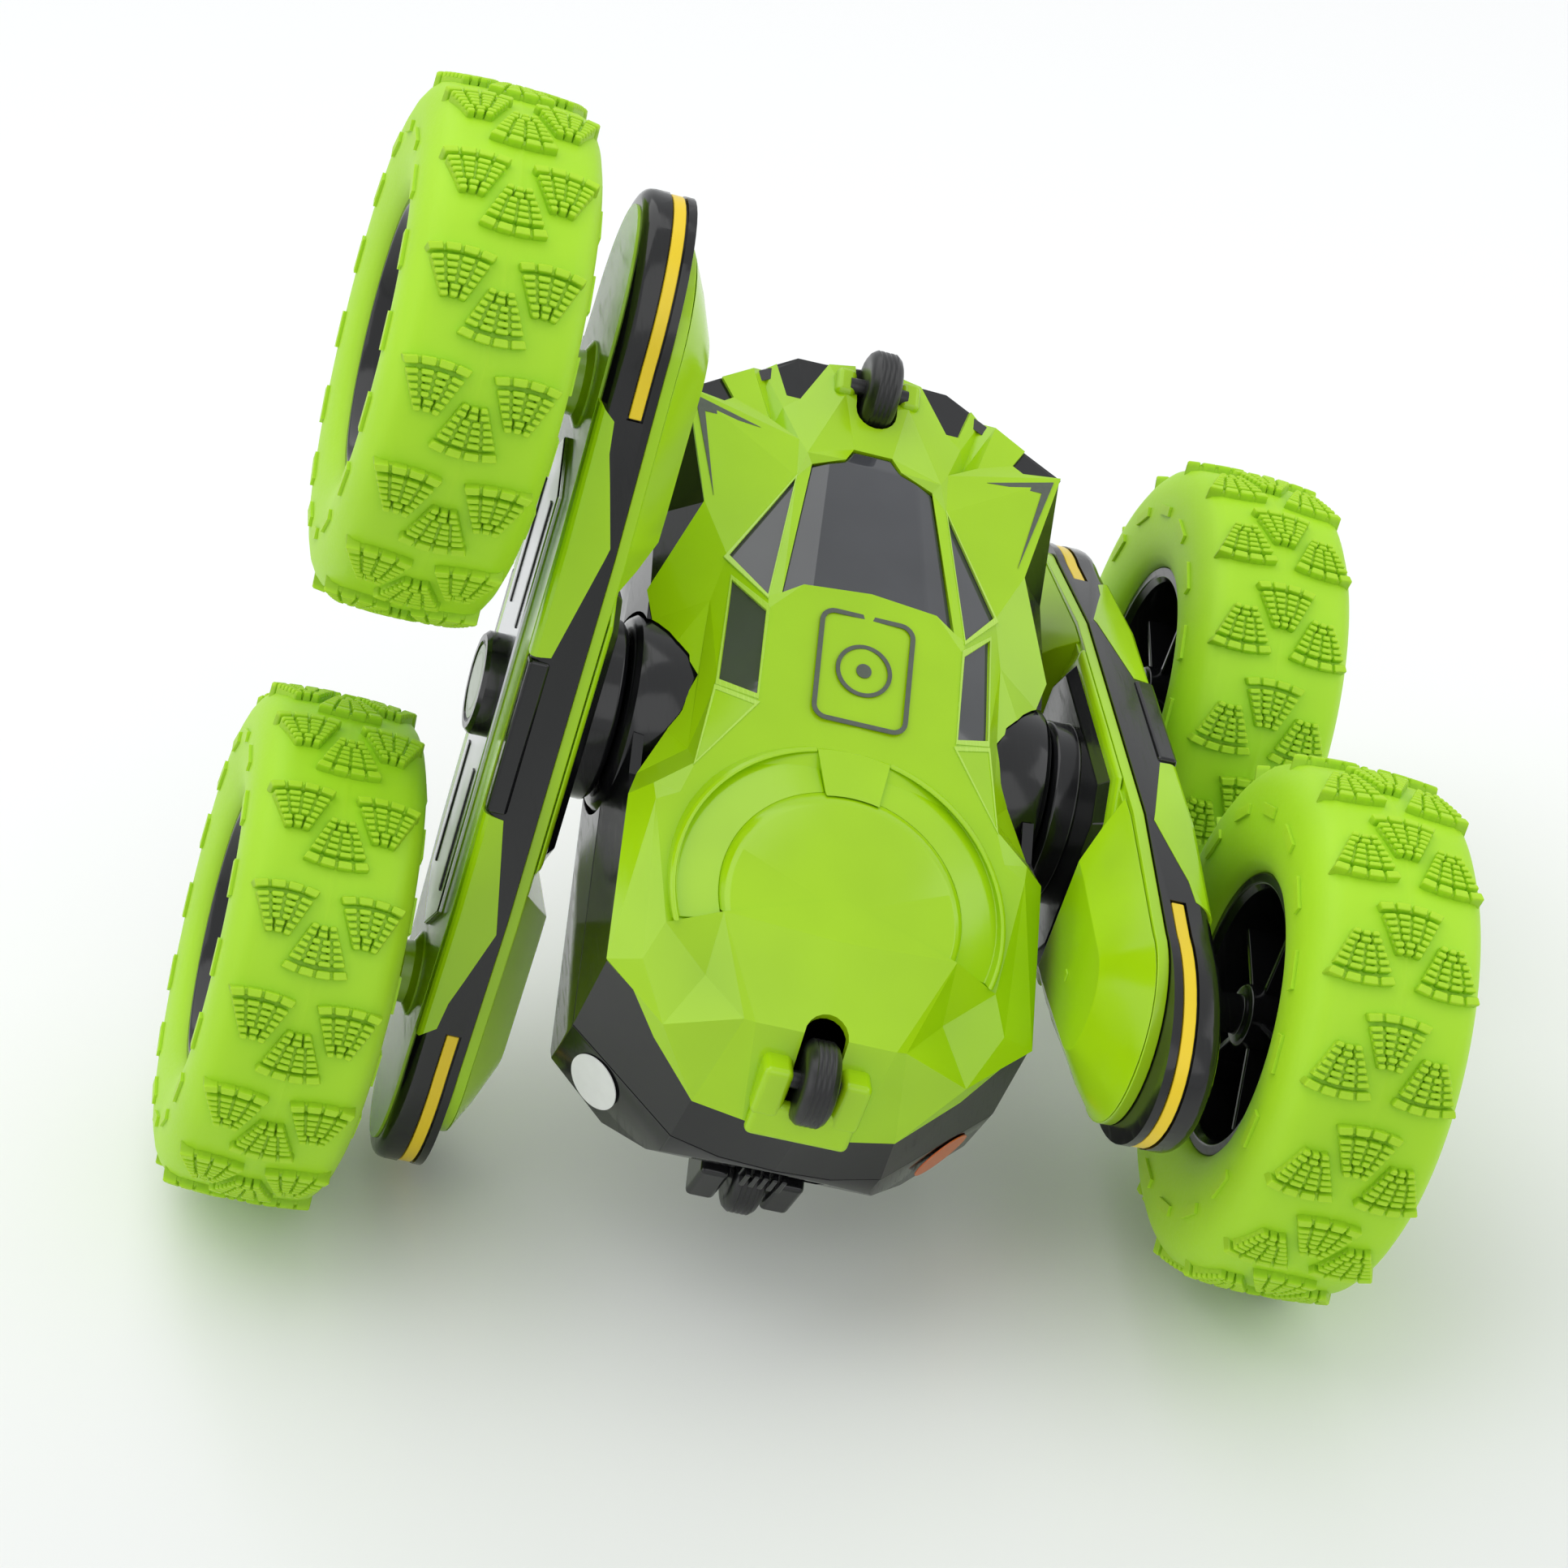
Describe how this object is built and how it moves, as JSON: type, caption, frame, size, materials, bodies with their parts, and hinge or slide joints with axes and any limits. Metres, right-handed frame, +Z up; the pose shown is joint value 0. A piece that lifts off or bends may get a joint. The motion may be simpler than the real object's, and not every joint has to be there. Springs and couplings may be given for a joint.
{
  "type": "rc stunt car",
  "caption": "Radio-controlled stunt car with a faceted cockpit pod between two pivoting gearbox arms that carry big soft tyres, standing on three wheels with one arm swung up.",
  "frame": {"origin": "middle of the car's bounding box, on the floor its three lower wheels stand on", "axes": "+Z up from the floor, +Y along the right arm towards its front wheel, +X to the car's right side"},
  "size_m": [0.183, 0.165, 0.1613],
  "materials": {
    "lime_abs": "gloss moulded",
    "black_abs": "gloss moulded",
    "tinted_window": "polished dark tint",
    "lime_vinyl": "matte soft vinyl",
    "yellow_abs": "satin moulded",
    "silver_trim": "vacuum plated",
    "badge_grey": "satin moulded",
    "acetal": "as moulded",
    "acetal_on_steel": "moulded on a ground pin",
    "motor_can": "stamped can",
    "switch_can": "stamped can",
    "cell_wrap": "shrink wrap",
    "circuit_board": "solder mask",
    "antenna_wire": "drawn"
  },
  "bodies": {
    "pod": {"upper_shell": "lime_abs", "windshield": "tinted_window", "right_quarter_window": "tinted_window", "left_quarter_window": "tinted_window", "right_rear_window": "tinted_window", "left_rear_window": "tinted_window", "belt": "black_abs", "lower_shell": "black_abs", "battery_cover": "black_abs", "battery": "cell_wrap", "circuit_board": "circuit_board", "receiver_antenna": "antenna_wire", "switch_body": "switch_can", "left_pivot_boss": "black_abs", "right_pivot_boss": "black_abs", "left_motor": "motor_can", "right_motor": "motor_can"},
    "switch_knob": {"switch_knob": "black_abs"},
    "front_top_roller": {"front_top_roller": "black_abs"},
    "front_bottom_roller": {"front_bottom_roller": "black_abs"},
    "rear_top_roller": {"rear_top_roller": "black_abs"},
    "rear_bottom_roller": {"rear_bottom_roller": "black_abs"},
    "left_arm": {"left_inner_shell": "lime_abs", "left_pivot_collar": "black_abs", "left_mid_band": "black_abs", "left_outer_cover": "lime_abs", "left_trim_plate": "silver_trim", "left_hub_badge": "badge_grey", "left_front_stripe": "yellow_abs", "left_rear_stripe": "yellow_abs"},
    "left_pinion": {"left_pinion": "acetal"},
    "left_front_wheel": {"left_front_shaft": "acetal_on_steel", "left_front_rim": "black_abs", "left_front_tyre": "lime_vinyl"},
    "left_front_idler": {"left_front_idler": "acetal"},
    "left_rear_wheel": {"left_rear_shaft": "acetal_on_steel", "left_rear_rim": "black_abs", "left_rear_tyre": "lime_vinyl"},
    "left_rear_idler": {"left_rear_idler": "acetal"},
    "right_arm": {"right_inner_shell": "lime_abs", "right_pivot_collar": "black_abs", "right_mid_band": "black_abs", "right_outer_cover": "lime_abs", "right_trim_plate": "silver_trim", "right_hub_badge": "badge_grey", "right_front_stripe": "yellow_abs", "right_rear_stripe": "yellow_abs"},
    "right_pinion": {"right_pinion": "acetal"},
    "right_front_wheel": {"right_front_shaft": "acetal_on_steel", "right_front_rim": "black_abs", "right_front_tyre": "lime_vinyl"},
    "right_front_idler": {"right_front_idler": "acetal"},
    "right_rear_wheel": {"right_rear_shaft": "acetal_on_steel", "right_rear_rim": "black_abs", "right_rear_tyre": "lime_vinyl"},
    "right_rear_idler": {"right_rear_idler": "acetal"}
  },
  "joints": [
    {"name": "switch_slide", "type": "slide", "parent": "pod", "child": "switch_knob", "axis": [0.9452, 0, -0.3266], "range_m": [0, 0.004]},
    {"name": "front_top_roller_spin", "type": "hinge", "parent": "pod", "child": "front_top_roller", "pos_m": [0.02092, 0.03776, 0.09821], "axis": [0.9452, 0, -0.3266], "continuous": true},
    {"name": "front_bottom_roller_spin", "type": "hinge", "parent": "pod", "child": "front_bottom_roller", "pos_m": [0.01326, 0.05305, 0.07604], "axis": [0.9452, 0, -0.3266], "continuous": true},
    {"name": "rear_top_roller_spin", "type": "hinge", "parent": "pod", "child": "rear_top_roller", "pos_m": [0.00158, -0.05732, 0.04223], "axis": [0.9452, 0, -0.3266], "continuous": true},
    {"name": "rear_bottom_roller_spin", "type": "hinge", "parent": "pod", "child": "rear_bottom_roller", "pos_m": [-0.00734, -0.03952, 0.01641], "axis": [0.9452, 0, -0.3266], "continuous": true},
    {"name": "left_arm_pivot", "type": "hinge", "parent": "pod", "child": "left_arm", "pos_m": [0.00742, 0, 0.05915], "axis": [0.9452, 0, -0.3266], "range_deg": [-110, 10]},
    {"name": "left_front_wheel_spin", "type": "hinge", "parent": "left_arm", "child": "left_front_wheel", "pos_m": [0.02227, 0.0055, 0.10213], "axis": [0.9452, 0, -0.3266], "continuous": true},
    {"name": "left_front_idler_spin", "type": "hinge", "parent": "left_arm", "child": "left_front_idler", "pos_m": [0.01435, 0.00257, 0.07921], "axis": [0.9452, 0, -0.3266], "continuous": true},
    {"name": "left_rear_wheel_spin", "type": "hinge", "parent": "left_arm", "child": "left_rear_wheel", "pos_m": [-0.00742, -0.0055, 0.01618], "axis": [0.9452, 0, -0.3266], "continuous": true},
    {"name": "left_rear_idler_spin", "type": "hinge", "parent": "left_arm", "child": "left_rear_idler", "pos_m": [0.00049, -0.00257, 0.0391], "axis": [0.9452, 0, -0.3266], "continuous": true},
    {"name": "left_pinion_spin", "type": "hinge", "parent": "left_arm", "child": "left_pinion", "pos_m": [0.00742, 0, 0.05915], "axis": [0.9452, 0, -0.3266], "continuous": true},
    {"name": "right_arm_pivot", "type": "hinge", "parent": "pod", "child": "right_arm", "pos_m": [0.00742, 0, 0.05915], "axis": [0.9452, 0, -0.3266], "range_deg": [-26.9, 93.1]},
    {"name": "right_front_wheel_spin", "type": "hinge", "parent": "right_arm", "child": "right_front_wheel", "pos_m": [0.00742, 0.0458, 0.05915], "axis": [0.9452, 0, -0.3266], "continuous": true},
    {"name": "right_front_idler_spin", "type": "hinge", "parent": "right_arm", "child": "right_front_idler", "pos_m": [0.00742, 0.02137, 0.05915], "axis": [0.9452, 0, -0.3266], "continuous": true},
    {"name": "right_rear_wheel_spin", "type": "hinge", "parent": "right_arm", "child": "right_rear_wheel", "pos_m": [0.00742, -0.0458, 0.05915], "axis": [0.9452, 0, -0.3266], "continuous": true},
    {"name": "right_rear_idler_spin", "type": "hinge", "parent": "right_arm", "child": "right_rear_idler", "pos_m": [0.00742, -0.02137, 0.05915], "axis": [0.9452, 0, -0.3266], "continuous": true},
    {"name": "right_pinion_spin", "type": "hinge", "parent": "right_arm", "child": "right_pinion", "pos_m": [0.00742, 0, 0.05915], "axis": [0.9452, 0, -0.3266], "continuous": true}
  ],
  "couplings": [
    {"joint": "left_rear_wheel_spin", "follows": "left_front_wheel_spin", "ratio": 1},
    {"joint": "left_front_idler_spin", "follows": "left_front_wheel_spin", "ratio": -0.77778},
    {"joint": "left_rear_idler_spin", "follows": "left_front_wheel_spin", "ratio": -0.77778},
    {"joint": "left_pinion_spin", "follows": "left_front_wheel_spin", "ratio": 1.4},
    {"joint": "right_rear_wheel_spin", "follows": "right_front_wheel_spin", "ratio": 1},
    {"joint": "right_front_idler_spin", "follows": "right_front_wheel_spin", "ratio": -0.77778},
    {"joint": "right_rear_idler_spin", "follows": "right_front_wheel_spin", "ratio": -0.77778},
    {"joint": "right_pinion_spin", "follows": "right_front_wheel_spin", "ratio": 1.4}
  ]
}
